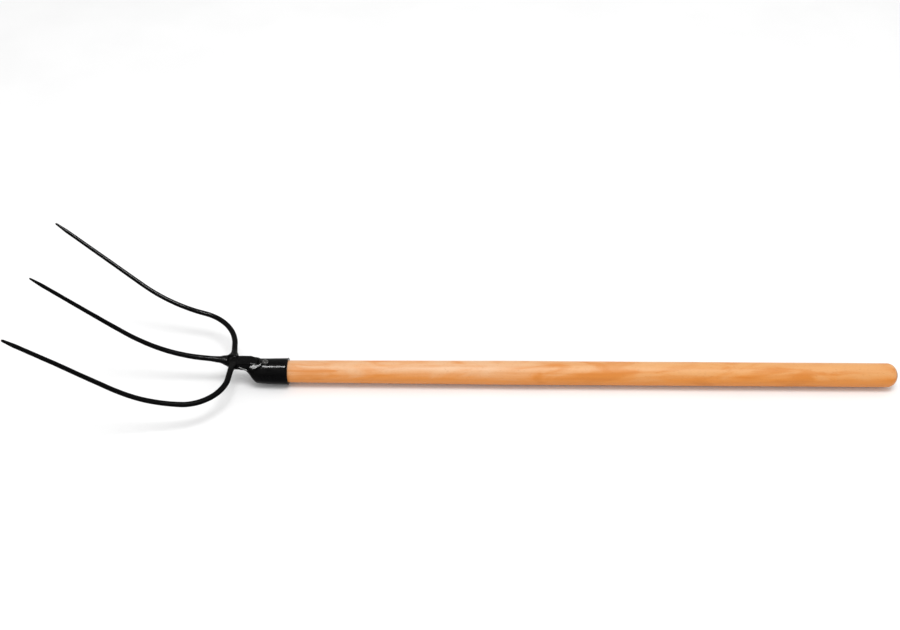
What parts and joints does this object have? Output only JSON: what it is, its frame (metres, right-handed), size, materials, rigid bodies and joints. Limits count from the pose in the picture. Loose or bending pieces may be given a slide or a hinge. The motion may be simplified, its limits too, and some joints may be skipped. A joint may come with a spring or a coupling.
{
  "type": "hay fork",
  "caption": "Long-handled hay fork: dished tapering steel tines in a bow, welded to a short neck and a riveted socket on a round wooden handle with a domed butt.",
  "frame": {"origin": "middle of the fork's footprint, level with the underside of the socket, as it lies tips up on socket and handle", "axes": "+X along the handle from the tips towards the free butt, +Z the side that the tips rise to, +Y across the tines to the left seen from the handle"},
  "size_m": [1.2505, 0.246, 0.2042],
  "materials": {
    "handle_wood": "satin clear varnish on pale beech-like wood, long soft grain",
    "black_steel": "gloss black paint over forged steel",
    "black_weld": "gloss black paint over rippled weld beads"
  },
  "bodies": {
    "root": {"handle": "handle_wood", "socket": "black_steel", "neck_bar": "black_steel", "centre_tine": "black_steel", "left_tine": "black_steel", "right_tine": "black_steel", "centre_tine_weld": "black_weld", "left_tine_weld": "black_weld", "right_tine_weld": "black_weld", "neck_weld": "black_weld", "socket_rivet": "black_steel"}
  },
  "joints": []
}
